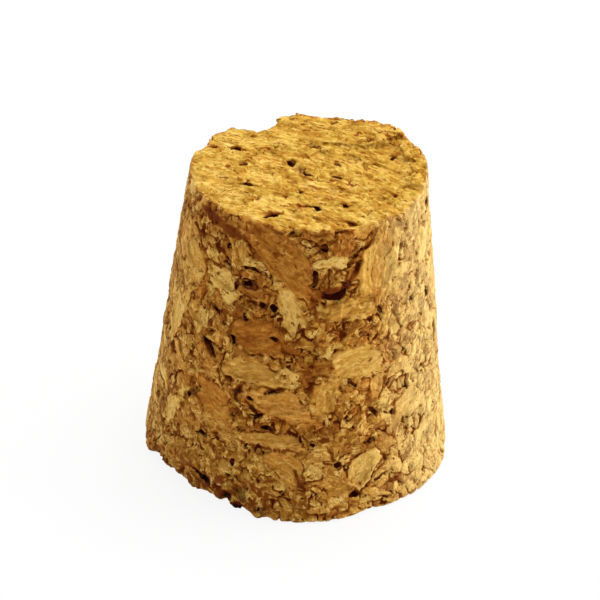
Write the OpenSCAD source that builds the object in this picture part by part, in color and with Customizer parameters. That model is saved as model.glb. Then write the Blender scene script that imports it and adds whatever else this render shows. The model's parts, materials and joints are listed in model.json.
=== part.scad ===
// Tapered stopper of agglomerated cork: coarse granules pressed and glued into
// one block, turned to a taper and sawn off square at both ends. It is one
// piece. It stands on its wide end, with the narrow end up.
// The origin is the centre of the wide end, and +Z runs up the axis.

/* [Body] */
// Diameter of the wide end
base_d = 32.4; // [25:0.1:48]
// Diameter of the narrow end
top_d = 23.8; // [16:0.1:31]
// Height between the two sawn ends
height = 31.8; // [20:0.1:60]
// Width of the bevel that wear has left round the wide end
rim_wear = 0.2; // [0.1:0.05:0.8]

/* [Torn lip on the narrow end] */
// How far the lip stands above the sawn face at its high end
lip_rise = 1; // [0.3:0.1:2]
// How far the lip reaches in from the rim
lip_reach = 7.2; // [4:0.1:9]
// Angle on the rim of the lip's high end
lip_start = 43; // [30:1:60]
// Angle on the rim where the lip's top has come down to the sawn face
lip_low = 86; // [75:1:100]
// Angle on the rim where the lip's footprint ends, beside the gap
lip_end = 104; // [90:1:115]
// Height of the low burr that carries on round the rim from the lip
burr_rise = 0.45; // [0.1:0.05:0.8]
// Width of the burr, in from the rim
burr_width = 2.2; // [1:0.1:4]
// Angle on the rim where the burr ends
burr_end = -14; // [-20:1:25]

/* [Gap in the narrow end's rim] */
// Angle on the rim of the gap's middle
gap_angle = 118; // [112:1:150]
// Width of the gap along the rim
gap_width = 5.4; // [3:0.1:8]
// How far the gap reaches in from the rim
gap_reach = 2.7; // [1.5:0.1:5]
// How deep the gap goes below the sawn face
gap_depth = 3.4; // [1:0.1:6]

/* [Crumbled arc on the wide end] */
// How far the rim is worn in
crumble_reach = 1.3; // [0.5:0.1:2.5]
// How high the worn band goes up the side
crumble_rise = 3.2; // [1.5:0.1:6]
// Angle on the rim where the worn arc starts
crumble_start = 195; // [180:1:205]
// Angle on the rim where the worn arc ends
crumble_end = 261; // [252:1:280]

/* [Granules] */
// Length of a typical cork granule, which sets the size of the voids
granule = 3.2; // [1.6:0.1:6]
// Depth of a typical void between granules
void_depth = 1.1; // [0.4:0.1:2]
// How far a sunk granule lies below the turned side or the sawn end
granule_step = 0.3; // [0.1:0.05:0.6]
// How far the face of a sunk granule leans, in degrees
granule_tilt = 4; // [0:0.5:6]
// Number of voids scattered over the rest of the side
side_scatter = 70; // [0:1:120]
// Number of sunk granules scattered over the rest of the side
granule_scatter = 42; // [0:1:70]
// Number of small sunk granules scattered between those that stand out
small_scatter = 44; // [0:1:70]
// Number of voids scattered over the wide end
base_scatter = 18; // [0:1:40]
// Number of sunk granules scattered over the wide end
base_granule_scatter = 15; // [0:1:30]

/* [Hidden] */
$fn = 160;

base_r = base_d / 2;
top_r = top_d / 2;
taper = atan((base_r - top_r) / height);

// Radius of the turned side at a height above the wide end.
function side_r(z) = base_r - z * tan(taper);

// A repeatable number from 0 to 1 for a counter and a salt.
function chance(i, salt) =
    let (s = sin(i * 127.1 + salt * 311.7) * 4375.85)
    s - floor(s);
function between(low, high, i, salt) = low + (high - low) * chance(i, salt);

// Steps of the golden section never fall into rows.
GOLDEN = 0.618034;

// Outline of a void: a bent lens with an uneven edge, length along X.
VOID_CORNERS = 8;
function void_outline(length, width, bend, i) = [
    for (k = [0 : VOID_CORNERS - 1])
        let (
            turn = 360 * k / VOID_CORNERS,
            swell = between(0.72, 1.15, i, k + 1),
            x = cos(turn) * swell
        )
        [x * length / 2, (sin(turn) * swell + bend * (1 - 2 * x * x)) * width / 2]
];

// Cutter for one void: it stands on the surface with +Z out of the cork.
module void_cutter(length, width, deep, lean, bend, i) {
    proud = width + deep;
    rotate([0, 0, lean])
        translate([0, 0, -deep])
            rotate([between(-18, 18, i, 31), between(-12, 12, i, 32), 0])
                linear_extrude(height = deep + proud)
                    polygon(void_outline(length, width, bend, i));
}

// Puts its children on the side, at an angle round the axis and a share of
// the height: +Z out of the cork, +Y up the side, +X round to the right.
module on_side(angle, share) {
    z = share * height;
    rotate([0, 0, angle])
        translate([side_r(z), 0, z])
            rotate([0, 90 - taper, 0])
                rotate([0, 0, 90])
                    children();
}

// Voids that stand out on the side. Each row: angle, share of the height,
// length and width in granules, lean above level, bend.
SIDE_VOIDS = [
    [228.0, 0.937, 0.20, 0.14, 20, 0.0],
    [238.0, 0.957, 0.28, 0.12, 0, 0.0],
    [232.3, 0.896, 0.20, 0.18, 0, 0.0],
    [234.5, 0.843, 0.44, 0.16, -30, 0.2],
    [249.0, 0.836, 1.00, 0.13, -4, 0.3],
    [245.5, 0.798, 0.66, 0.16, -3, 0.2],
    [239.7, 0.779, 0.42, 0.14, 72, 0.2],
    [253.0, 0.742, 0.24, 0.16, -30, 0.0],
    [258.4, 0.739, 0.32, 0.27, 10, 0.2],
    [245.5, 0.686, 0.22, 0.15, 40, 0.0],
    [224.5, 0.695, 0.28, 0.15, -50, 0.0],
    [230.5, 0.672, 0.42, 0.16, -40, 0.0],
    [260.4, 0.697, 0.30, 0.14, 80, 0.0],
    [240.6, 0.588, 0.46, 0.18, -76, 0.2],
    [258.3, 0.629, 0.46, 0.15, -12, 0.2],
    [253.3, 0.569, 0.30, 0.12, -15, 0.0],
    [229.0, 0.535, 0.90, 0.28, -38, 0.3],
    [261.5, 0.459, 0.95, 0.14, 18, -0.4],
    [254.0, 0.366, 0.72, 0.17, 6, -1.0],
    [246.0, 0.403, 0.40, 0.16, -78, -0.5],
    [251.0, 0.409, 0.32, 0.15, -10, 0.0],
    [223.5, 0.352, 0.95, 0.18, 45, 0.3],
    [231.0, 0.223, 0.50, 0.20, -20, 0.3],
    [258.5, 0.321, 0.34, 0.15, 0, 0.0],
    [252.0, 0.236, 0.24, 0.15, 15, 0.0],
    [246.3, 0.173, 0.42, 0.13, 85, 0.2],
    [245.3, 0.117, 0.34, 0.15, -10, -0.5],
    [233.5, 0.079, 0.95, 0.22, -42, 0.0],
    [251.5, 0.052, 0.40, 0.34, 60, 0.2],
    [258.5, 0.031, 0.38, 0.18, -15, 0.0],
    [196.5, 0.472, 0.45, 0.20, 82, 0.0],
    [205.0, 0.431, 0.40, 0.20, -30, 0.2],
    [266.5, 0.981, 0.80, 0.12, -4, 0.0],
    [279.0, 0.931, 0.34, 0.24, -40, 0.0],
    [275.2, 0.830, 0.62, 0.16, 84, 0.1],
    [284.0, 0.787, 1.00, 0.26, 22, -1.0],
    [295.3, 0.865, 0.68, 0.15, 60, 0.0],
    [300.0, 0.931, 0.27, 0.14, 86, 0.0],
    [319.5, 0.887, 0.50, 0.20, 30, 0.6],
    [306.0, 0.711, 0.98, 0.13, -67, 0.3],
    [310.0, 0.601, 0.50, 0.14, -75, -0.3],
    [298.2, 0.638, 0.52, 0.14, -28, 0.0],
    [319.0, 0.525, 0.50, 0.12, -60, 0.5],
    [312.5, 0.475, 0.36, 0.13, 86, 0.0],
    [293.6, 0.472, 0.42, 0.16, -50, 0.3],
    [302.0, 0.362, 0.78, 0.14, -50, 0.3],
    [290.5, 0.358, 0.42, 0.12, 62, -0.3],
    [300.0, 0.270, 0.62, 0.18, 14, -0.4],
    [310.4, 0.333, 0.24, 0.15, -40, 0.0],
    [319.2, 0.403, 0.36, 0.22, -10, 0.4],
    [287.2, 0.193, 0.27, 0.24, 0, 0.0],
    [287.6, 0.236, 0.44, 0.10, 86, 0.0],
    [276.5, 0.270, 0.24, 0.13, -15, 0.0],
    [277.4, 0.149, 0.40, 0.11, -45, -0.3],
    [293.0, 0.072, 0.38, 0.20, 14, 0.8],
    [313.2, 0.217, 0.24, 0.13, 10, 0.8],
    [330.0, 0.179, 0.32, 0.14, 75, 0.0],
    [339.0, 0.670, 0.45, 0.16, -65, 0.0],
    [326.0, 0.698, 0.60, 0.12, -58, 0.0],
    [314.0, 0.173, 0.40, 0.12, 70, 0.0],
];

// Voids that stand out on the narrow end. Each row: x and y as shares of its
// radius, length and width in granules, lean, bend.
TOP_VOIDS = [
    [-0.02, -0.06, 0.95, 0.17, -46, -0.4],
    [-0.14, 0.12, 0.36, 0.24, -20, 0.0],
    [0.24, 0.11, 0.42, 0.17, -42, 0.0],
    [0.25, -0.10, 0.36, 0.14, -8, 0.3],
    [-0.55, 0.05, 0.42, 0.20, -45, 0.4],
    [-0.51, -0.29, 0.38, 0.26, -12, 0.5],
    [0.05, -0.60, 0.62, 0.18, -28, 1.0],
    [0.30, -0.54, 0.42, 0.20, -48, 0.0],
    [-0.28, -0.76, 0.60, 0.28, 30, 0.0],
    [0.35, -0.83, 0.40, 0.18, -15, 0.0],
    [-0.62, 0.31, 0.44, 0.30, -10, 0.4],
    [-0.88, 0.33, 0.26, 0.18, 70, 0.0],
    [0.71, 0.29, 0.28, 0.16, 40, 0.0],
    [0.49, 0.45, 0.32, 0.14, -55, 0.0],
    [0.06, 0.38, 0.40, 0.16, -5, 0.0],
    [-0.32, 0.37, 0.30, 0.18, 0, 0.0],
    [0.22, 0.86, 0.24, 0.20, 0, 0.0],
    [0.38, 0.77, 0.26, 0.14, 75, 0.0],
    [0.18, 0.70, 0.20, 0.14, 0, 0.0],
    [0.72, -0.35, 0.30, 0.12, -60, 0.0],
    [0.62, -0.10, 0.28, 0.12, -50, 0.0],
    [-0.05, -0.35, 0.36, 0.12, -40, 0.0],
];

// Granules that stand out on the side. Each row: angle, share of the height,
// length and width in granules, lean above level.
SIDE_GRANULES = [
    [259.0, 0.909, 2.50, 0.92, -38],
    [264.5, 0.733, 1.50, 0.56, -70],
    [233.0, 0.774, 0.84, 0.62, -20],
    [222.0, 0.610, 0.54, 0.50, 0],
    [250.0, 0.635, 1.50, 0.90, 15],
    [262.5, 0.412, 1.72, 0.82, 2],
    [263.5, 0.292, 1.95, 0.50, 1],
    [234.0, 0.368, 1.50, 0.90, -5],
    [238.0, 0.283, 0.90, 0.55, 0],
    [294.5, 0.541, 1.50, 0.95, 8],
    [281.0, 0.440, 1.30, 0.85, 80],
    [303.4, 0.447, 1.05, 0.42, 88],
    [297.5, 0.167, 1.40, 0.88, 75],
    [278.3, 0.179, 0.74, 0.50, 85],
    [286.0, 0.116, 1.00, 0.75, -10],
    [305.0, 0.849, 1.75, 1.25, 88],
    [267.0, 0.195, 1.10, 0.85, -20],
    [250.5, 0.503, 1.50, 0.85, 15],
    [203.0, 0.540, 1.85, 0.75, 80],
    [216.0, 0.910, 0.74, 0.34, 80],
    [293.0, 0.730, 1.20, 0.72, 10],
    [239.5, 0.900, 1.10, 0.45, -78],
    [211.0, 0.235, 1.25, 0.65, 75],
    [212.0, 0.790, 1.30, 0.75, -20],
    [320.0, 0.345, 1.10, 0.70, 10],
    [335.0, 0.900, 1.30, 0.90, 80],
    [333.0, 0.480, 1.50, 0.60, 70],
    [325.0, 0.250, 1.10, 0.62, 20],
];

// Granules that stand out on the narrow end. Each row: x and y as shares of
// its radius, length and width in granules, lean.
TOP_GRANULES = [
    [0.08, 0.24, 0.80, 0.48, 75],
    [-0.40, -0.13, 1.25, 0.85, -25],
    [-0.36, 0.20, 1.20, 0.62, -8],
    [-0.30, -0.52, 1.40, 0.72, 25],
    [0.47, -0.75, 0.90, 0.36, -5],
    [0.12, -0.36, 1.30, 0.40, -10],
    [0.62, 0.08, 1.10, 0.50, -30],
    [-0.72, -0.28, 1.00, 0.60, -40],
    [0.28, -0.34, 0.95, 0.46, -35],
    [0.03, -0.80, 0.90, 0.40, -20],
    [0.80, 0.20, 0.70, 0.42, -48],
    [0.38, 0.20, 0.85, 0.44, -40],
    [-0.12, 0.03, 0.80, 0.40, -30],
    [-0.57, -0.60, 0.85, 0.45, -22],
    [0.64, -0.47, 0.95, 0.42, -45],
    [-0.62, 0.07, 0.75, 0.44, -18],
];

// The turned blank, left taller than the sawn face by the lip.
module blank() {
    top_z = height + lip_rise;
    rotate_extrude()
        polygon([
            [0, 0],
            [base_r - rim_wear, 0],
            [side_r(rim_wear), rim_wear],
            [side_r(top_z), top_z],
            [0, top_z],
        ]);
}

// A point on the narrow end's rim, moved out or in along its radius.
function rim_point(angle, radius = top_r) = radius * [cos(angle), sin(angle)];

// What the torn lip covers: its front edge is torn in steps.
module lip_footprint() {
    front = top_r - lip_reach;
    polygon([
        rim_point(lip_start, 2 * base_r),
        rim_point(lip_start) - [0, lip_reach / 4],
        [top_r * 0.50, front - 0.5],
        [top_r * 0.20, front + 0.3],
        [-top_r * 0.04, front],
        [-top_r * 0.22, front + 1.1],
        [-top_r * 0.34, front + 2.4],
        rim_point(lip_end, 2 * base_r),
    ]);
}

// What the low burr covers: a band along the rim.
module burr_footprint() {
    steps = 6;
    turn = (lip_start - burr_end) / steps;
    polygon(concat(
        [for (k = [0 : steps]) rim_point(burr_end + k * turn, 2 * base_r)],
        [for (k = [steps : -1 : 0])
            rim_point(burr_end + k * turn, top_r - burr_width * between(0.6, 1, k, 41))]
    ));
}

// Everything above a plane that starts at the sawn face at the lip's low end
// and climbs to the full rise at its high end.
module above_lip() {
    low = rim_point(lip_low);
    span = rim_point(lip_start) - low;
    translate([low.x, low.y, height])
        rotate([0, -atan(lip_rise / norm(span)), atan2(span.y, span.x)])
            translate([-2 * base_r, -2 * base_r, 0])
                cube([4 * base_r, 4 * base_r, base_r]);
}

// What the saw took off the blank: all above the sawn face but lip and burr.
module saw_waste() {
    clear = lip_rise + 1;
    difference() {
        translate([0, 0, height])
            cylinder(h = clear, r = base_r);
        difference() {
            translate([0, 0, height - clear])
                linear_extrude(height = 3 * clear)
                    lip_footprint();
            above_lip();
        }
        translate([0, 0, height - clear])
            linear_extrude(height = clear + burr_rise)
                burr_footprint();
    }
}

// A pocket in the rim of the narrow end. Its floor falls outwards.
module rim_pocket(deep, outline) {
    translate([0, 0, -deep])
        rotate([0, 14, 0])
            linear_extrude(height = 2 * deep + 3 * lip_rise)
                polygon(outline);
}

// Where granules broke out of the narrow end's rim: a deep pocket with a
// shallow shoulder on either side.
module rim_gap() {
    reach = gap_reach;
    half = gap_width / 2;
    rotate([0, 0, gap_angle])
        translate([top_r, 0, height]) {
            rim_pocket(gap_depth, [
                [reach, -half * 0.75],
                [-reach * 0.71, -half * 0.43],
                [-reach * 1.19, -half * 0.20],
                [-reach * 1.32, half * 0.04],
                [-reach * 1.28, half * 0.26],
                [-reach * 1.14, half * 0.54],
                [-reach * 0.69, half * 0.74],
                [reach, half * 1.00],
            ]);
            rim_pocket(gap_depth * 0.4, [
                [reach, -half * 1.80],
                [-reach * 0.47, -half * 1.37],
                [-reach * 0.53, -half * 0.92],
                [-reach * 0.77, -half * 0.52],
                [-reach * 1.10, -half * 0.13],
                [-reach * 1.15, half * 0.11],
                [-reach * 0.99, half * 0.56],
                [-reach * 0.54, half * 0.85],
                [-reach * 0.47, half * 1.07],
                [reach, half * 1.50],
            ]);
        }
}

// The worn arc of the wide end: flats that lean out from the rim to the side.
module crumbled_arc() {
    flats = 3;
    half_span = acos((base_r - crumble_reach) / base_r);
    first = crumble_start + half_span;
    pitch = (crumble_end - half_span - first) / (flats - 1);
    lean = atan((side_r(crumble_rise) - base_r + crumble_reach) / crumble_rise);
    for (k = [0 : flats - 1])
        rotate([0, 0, first + k * pitch])
            translate([base_r - crumble_reach, 0, 0])
                rotate([0, lean, 0])
                    translate([0, -base_r, -crumble_rise])
                        cube([base_r, 2 * base_r, 4 * crumble_rise]);
}

// Cuts one row of a table of voids at the origin.
module cut_void(length, width, lean, bend, i) {
    deep = void_depth * between(0.7, 1.3, i, 21) * (width < 0.15 ? 0.8 : 1);
    void_cutter(length * granule, width * granule, deep, lean, bend, i);
}

module side_voids() {
    for (i = [0 : len(SIDE_VOIDS) - 1])
        let (v = SIDE_VOIDS[i])
        on_side(v[0], v[1])
            cut_void(v[2], v[3], v[4], v[5], i);
}

// Cutter for a sunk granule: a shallow pocket with the granule's outline and
// a floor that leans a little, as the granule's own face does.
module sink_granule(length, width, lean, i) {
    across = between(-1, 1, i, 81) * granule_tilt;
    along = between(-0.6, 0.6, i, 82) * granule_tilt / max(length, 0.6);
    rotate([0, 0, lean])
        translate([0, 0, -granule_step * between(0.7, 1.3, i, 83)])
            rotate([across, along, 0])
                linear_extrude(height = granule)
                    polygon(void_outline(length * granule, width * granule, 0, i));
}

module side_granules() {
    for (i = [0 : len(SIDE_GRANULES) - 1])
        let (g = SIDE_GRANULES[i])
        on_side(g[0], g[1])
            sink_granule(g[2], g[3], g[4], i + 400);
}

module top_granules() {
    for (i = [0 : len(TOP_GRANULES) - 1])
        let (g = TOP_GRANULES[i])
        translate([g[0] * top_r, g[1] * top_r, height])
            sink_granule(g[2], g[3], g[4], i + 500);
}

// The part of the side that the tables leave out, from the back to the right.
SCATTER_START = 345;
SCATTER_SPAN = 205;

module scattered_side_granules() {
    for (i = [0 : 1 : granule_scatter - 1])
        on_side(
            SCATTER_START + SCATTER_SPAN * (i * GOLDEN - floor(i * GOLDEN)),
            0.06 + 0.88 * (i + 0.5) / granule_scatter
        )
            sink_granule(
                between(0.9, 1.6, i, 71),
                between(0.45, 0.85, i, 72),
                between(-90, 90, i, 73),
                i + 600
            );
}

// Small sunk granules between those of the table.
module small_side_granules() {
    for (i = [0 : 1 : small_scatter - 1])
        on_side(
            SCATTER_START - (360 - SCATTER_SPAN) * (i * GOLDEN - floor(i * GOLDEN)),
            0.05 + 0.91 * (i + 0.5) / small_scatter
        )
            sink_granule(
                between(0.55, 1.05, i, 91),
                between(0.30, 0.60, i, 92),
                between(-90, 90, i, 93),
                i + 700
            );
}

// The rest of the side, spread by the golden section so that none meet.
module scattered_side_voids() {
    for (i = [0 : 1 : side_scatter - 1])
        on_side(
            SCATTER_START + SCATTER_SPAN * (i * GOLDEN - floor(i * GOLDEN)),
            0.03 + 0.93 * (i + 0.5) / side_scatter
        )
            cut_void(
                between(0.28, 0.95, i, 51),
                between(0.10, 0.28, i, 52),
                between(-90, 90, i, 53),
                between(-0.8, 0.8, i, 54),
                i + 100
            );
}

module top_voids() {
    for (i = [0 : len(TOP_VOIDS) - 1])
        let (v = TOP_VOIDS[i])
        translate([v[0] * top_r, v[1] * top_r, height])
            cut_void(v[2], v[3], v[4], v[5], i + 200);
}

module base_voids() {
    for (i = [0 : 1 : base_scatter - 1])
        rotate([0, 0, 360 * i * GOLDEN])
            translate([base_r * 0.86 * sqrt((i + 0.5) / base_scatter), 0, 0])
                rotate([180, 0, 0])
                    cut_void(
                        between(0.3, 0.9, i, 61),
                        between(0.12, 0.28, i, 62),
                        between(-90, 90, i, 63),
                        between(-0.8, 0.8, i, 64),
                        i + 300
                    );
}

module base_granules() {
    for (i = [0 : 1 : base_granule_scatter - 1])
        rotate([0, 0, 180 + 360 * i * GOLDEN])
            translate([base_r * 0.80 * sqrt((i + 0.9) / base_granule_scatter), 0, 0])
                rotate([180, 0, 0])
                    sink_granule(
                        between(0.9, 1.7, i, 101),
                        between(0.50, 0.90, i, 102),
                        between(-90, 90, i, 103),
                        i + 800
                    );
}

module stopper() {
    color("peru")
        difference() {
            blank();
            saw_waste();
            rim_gap();
            crumbled_arc();
            side_granules();
            scattered_side_granules();
            small_side_granules();
            top_granules();
            base_granules();
            side_voids();
            scattered_side_voids();
            top_voids();
            base_voids();
        }
}

stopper();
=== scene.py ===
"""A tapered stopper of agglomerated cork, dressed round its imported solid.

The solid gives the taper, the sawn ends, the torn lip, the gap, the worn arc and the voids. This script
remeshes a copy of it finely, raises the cork granules on it and gives it a cork finish.
Lengths in the modelling part are in millimetres and turn to metres at its end.
"""
import json
import math

import bpy
import numpy as np
from mathutils import Matrix, Vector


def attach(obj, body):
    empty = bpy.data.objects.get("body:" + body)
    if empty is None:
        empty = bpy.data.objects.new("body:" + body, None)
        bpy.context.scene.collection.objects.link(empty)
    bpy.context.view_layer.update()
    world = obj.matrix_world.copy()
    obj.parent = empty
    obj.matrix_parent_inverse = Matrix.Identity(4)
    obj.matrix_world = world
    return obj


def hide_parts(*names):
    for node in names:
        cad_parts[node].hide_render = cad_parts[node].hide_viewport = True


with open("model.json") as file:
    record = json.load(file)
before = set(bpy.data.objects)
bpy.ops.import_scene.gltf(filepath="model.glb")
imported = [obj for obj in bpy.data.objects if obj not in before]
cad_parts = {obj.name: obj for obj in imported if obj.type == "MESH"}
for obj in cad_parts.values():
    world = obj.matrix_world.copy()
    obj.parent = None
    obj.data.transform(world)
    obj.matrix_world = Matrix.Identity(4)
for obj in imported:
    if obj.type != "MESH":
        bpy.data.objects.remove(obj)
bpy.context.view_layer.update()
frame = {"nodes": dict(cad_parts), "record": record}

MM = 0.001  # one millimetre in scene units

# ---------------------------------------------------------------------------
# The stopper's driving sizes, in millimetres, from the frame
# ---------------------------------------------------------------------------
SAWN_Z = [m for m in frame["record"]["mounts"] if m["name"] == "top_face"][0]["pos_m"][2] / MM
RIM_WEAR = 0.2  # width of the bevel that wear has left round the wide end
LEVEL = 0.01  # a corner this close to a height lies at it


def radii_from_frame():
    """Radius of the turned side at the wide end and at the sawn face, read off the solid."""
    node = frame["nodes"]["stopper"]
    co = np.array([v.co for v in node.data.vertices]) / MM
    radius = np.hypot(co[:, 0], co[:, 1])
    top = radius[(np.abs(co[:, 2] - SAWN_Z) < LEVEL) & (co[:, 1] < 0)].max()
    wide = radius[np.abs(co[:, 2] - RIM_WEAR) < LEVEL].max()
    slope = (wide - top) / (SAWN_Z - RIM_WEAR)
    return wide + slope * RIM_WEAR, top


BASE_R, TOP_R = radii_from_frame()
SLOPE = (BASE_R - TOP_R) / SAWN_Z  # how much the side leans in for each millimetre up

MERGE = 0.0005  # corners of the solid this close are one
VOXEL = 0.14  # edge of the remeshed faces before they are thinned
TRIANGLES = 192000  # the most triangles the finished piece keeps after thinning


def side_radius(z):
    return BASE_R - SLOPE * z


def axial(points):
    """Directions straight out from the stopper's axis, one for each point."""
    out = points * (1.0, 1.0, 0.0)
    return out / np.maximum(np.linalg.norm(out, axis=1, keepdims=True), 0.1)


def turned_from(angle, angles):
    """The shorter way round from one angle to each of the others, in degrees."""
    return (angles - angle + 180.0) % 360.0 - 180.0


# ---------------------------------------------------------------------------
# Repeatable chance and noise: each salt, a whole number, picks a pattern of its own
# ---------------------------------------------------------------------------
# Large primes that stir a point's whole numbers
STIR_X, STIR_Y, STIR_Z, STIR_SALT = 374761393, 668265263, 2246822519, 3266489917
AXIS_SALTS = (101, 202, 303)


def smoothstep(low, high, x):
    """0 where x is low and 1 where it is high, smooth between them."""
    t = np.clip((x - low) / (high - low), 0.0, 1.0)
    return t * t * (3.0 - 2.0 * t)


def lattice(cell, salt):
    """A repeatable number from 0 to 1 for each whole-number point."""
    h = cell[..., 0] * np.uint32(STIR_X) + cell[..., 1] * np.uint32(STIR_Y)
    h = h + cell[..., 2] * np.uint32(STIR_Z) + np.uint32(salt * STIR_SALT % 2**32)
    h = (h ^ (h >> np.uint32(15))) * np.uint32(STIR_Z)
    h = (h ^ (h >> np.uint32(13))) * np.uint32(STIR_SALT)
    h = h ^ (h >> np.uint32(16))
    return h.astype(np.float64) / (2.0**32 - 1.0)


def noise(points, size, salt=0):
    """Smooth noise from 0 to 1 whose lumps are about size across."""
    p = points / size
    base = np.floor(p)
    t = p - base
    t = t * t * (3.0 - 2.0 * t)
    cell = base.astype(np.int64).astype(np.uint32)
    total = np.zeros(len(points))
    for corner in range(8):
        step = np.array([corner & 1, corner >> 1 & 1, corner >> 2 & 1])
        weight = np.prod(np.where(step == 1, t, 1.0 - t), axis=1)
        total += weight * lattice(cell + step.astype(np.uint32), salt)
    return total


def layered_noise(points, size, layers, salt=0):
    """Layers of noise, each half the size and weight of the one before, from 0 to 1."""
    total = np.zeros(len(points))
    weights = 0.0
    for k in range(layers):
        weight = 0.5**k
        total += weight * noise(points, size * 0.5**k, salt + 17 * k)
        weights += weight
    return total / weights


def noise_vector(points, size, salt=0):
    """Three noises from -1 to 1 as the columns of one array."""
    return np.stack([2.0 * noise(points, size, salt + k) - 1.0 for k in AXIS_SALTS], axis=1)


# ---------------------------------------------------------------------------
# Granules
# ---------------------------------------------------------------------------
FACETS = 9  # flat faces of a granule
FACET_REACH = (0.74, 1.12)  # how far out its faces lie, as shares of its half sizes
ROUNDNESS = 0.05  # how much its edges are rounded: 0 for sharp, 1 for an ellipsoid
WIDTHS = (0.26, 0.62)  # width of a random granule, as a share of its length
THICKNESSES = (0.20, 0.46)  # and its thickness
PLACED_THICKNESS = 0.30  # thickness of one that stands out, as a share of its mean length and width
PLACED_DEPTH = 0.25  # how deep the middle of one lies, as a share of its half thickness
SEARCH_SHARE = 1.5  # points this many half lengths from a granule's middle are measured against it
SEARCH_MARGIN = 0.8  # and this many millimetres more
MIDDLES = (-0.3, 1.0)  # how deep the middle of a random one lies, as a share of its half length


class Granules:
    """Cork granules: where each lies, how it is turned, its half sizes and its tone."""

    def __init__(self, seed, most):
        self.chance = np.random.default_rng(seed)
        self.count = 0
        self.centres = np.zeros((most, 3))
        self.turns = np.zeros((most, 3, 3))
        self.halves = np.ones((most, 3))
        self.tones = np.zeros(most)
        self.warmths = np.zeros(most)

    def add(self, centre, turn, half, tone, warmth):
        """Places one more granule."""
        self.centres[self.count] = centre
        self.turns[self.count] = turn
        self.halves[self.count] = half
        self.tones[self.count] = tone
        self.warmths[self.count] = warmth
        self.count += 1

    def clear_of(self, centre, room):
        """True if the centre lies clear of the granules already placed, with room round each."""
        away = centre - self.centres[:self.count]
        near = np.flatnonzero(np.abs(away).max(axis=1) < self.halves[:self.count, 0] + room)
        turned = np.einsum("nij,nj->ni", self.turns[near], away[near])
        gauge = np.linalg.norm(turned / (self.halves[near] + room), axis=1)
        return bool((gauge > 1.0).all())


def random_turn(chance):
    """A rotation matrix with no favoured direction."""
    q, r = np.linalg.qr(chance.normal(size=(3, 3)))
    q = q * np.sign(np.diag(r))
    if np.linalg.det(q) < 0:
        q[0] = -q[0]
    return q


def side_turn(angle, lean):
    """Rows: along a granule lying flat on the side at a lean above level, across it, and outwards."""
    a = math.radians(angle)
    round_the_side = np.array([-math.sin(a), math.cos(a), 0.0])
    outwards = np.array([math.cos(a), math.sin(a), SLOPE])
    outwards /= np.linalg.norm(outwards)
    up = np.cross(outwards, round_the_side)
    b = math.radians(lean)
    along = math.cos(b) * round_the_side + math.sin(b) * up
    across = np.cross(outwards, along)
    return np.array([along, across, outwards])


def on_side(angle, z, inwards=0.0):
    """A point at an angle and a height, on the side or some way inwards from it."""
    a = math.radians(angle)
    r = side_radius(z) - inwards
    return np.array([r * math.cos(a), r * math.sin(a), z])


def placed_half(length, width):
    """Half sizes of a granule that stands out."""
    return length / 2, width / 2, PLACED_THICKNESS * (length + width) / 2


def granule_packing():
    """All granules near the surface: the ones that stand out, then random ones, large to small."""
    pack = Granules(seed=11, most=16000)
    for angle, z, length, width, lean, tone, warmth in SIDE_GRANULES:
        half = placed_half(length, width)
        pack.add(on_side(angle, z, PLACED_DEPTH * half[2]), side_turn(angle, lean), half, tone, warmth)
    for x, y, length, width, lean, tone, warmth in TOP_GRANULES:
        b = math.radians(lean)
        turn = [[math.cos(b), math.sin(b), 0.0], [-math.sin(b), math.cos(b), 0.0], [0.0, 0.0, 1.0]]
        half = placed_half(length, width)
        pack.add((x, y, SAWN_Z - PLACED_DEPTH * half[2]), turn, half, tone, warmth)
    for size in GRANULE_SIZES:
        add_random_granules(pack, *size)
    return pack


def add_random_granules(pack, count, low, high, room, spread):
    """Tries count granules with half lengths from low to high, and keeps those that have room."""
    chance = pack.chance
    for _ in range(count):
        half_length = chance.uniform(low, high)
        centre = random_place(chance, half_length)
        half = half_length * np.array([1.0, chance.uniform(*WIDTHS), chance.uniform(*THICKNESSES)])
        turn = random_turn(chance)
        tone = float(np.clip(chance.normal(0.5, spread), 0.0, 1.0))
        warmth = chance.uniform(0.0, 1.0)
        if pack.clear_of(centre, room * half_length):
            pack.add(centre, turn, half, tone, warmth)


def random_place(chance, reach):
    """A point in the skin of the stopper, no deeper than reach, picked evenly over its surface."""
    slant = math.hypot(SAWN_Z, BASE_R - TOP_R)
    side_area = math.pi * (BASE_R + TOP_R) * slant
    top_area = math.pi * TOP_R**2
    base_area = math.pi * BASE_R**2
    pick = chance.uniform(0.0, side_area + top_area + base_area)
    angle = chance.uniform(0.0, 360.0)
    depth = chance.uniform(*MIDDLES) * reach
    share = math.sqrt(chance.uniform(0.0, 1.0))
    if pick < side_area:
        # more of the side lies low down, where it is wider
        rise = (BASE_R - math.sqrt(BASE_R**2 - chance.uniform(0, 1) * (BASE_R**2 - TOP_R**2))) / SLOPE
        return on_side(angle, rise, depth)
    a = math.radians(angle)
    if pick < side_area + top_area:
        return np.array([share * TOP_R * math.cos(a), share * TOP_R * math.sin(a), SAWN_Z - depth])
    return np.array([share * BASE_R * math.cos(a), share * BASE_R * math.sin(a), depth])


# How many granules of each size are tried, the limits of their half length, how much of their
# reach they keep clear of the ones before, and how far their tones spread
GRANULE_SIZES = [
    (500, 1.5, 2.1, 0.36, 0.13),
    (3600, 0.9, 1.5, 0.32, 0.18),
    (7000, 0.6, 0.9, 0.32, 0.20),
    (4000, 0.35, 0.5, 0.32, 0.12),
]

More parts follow.
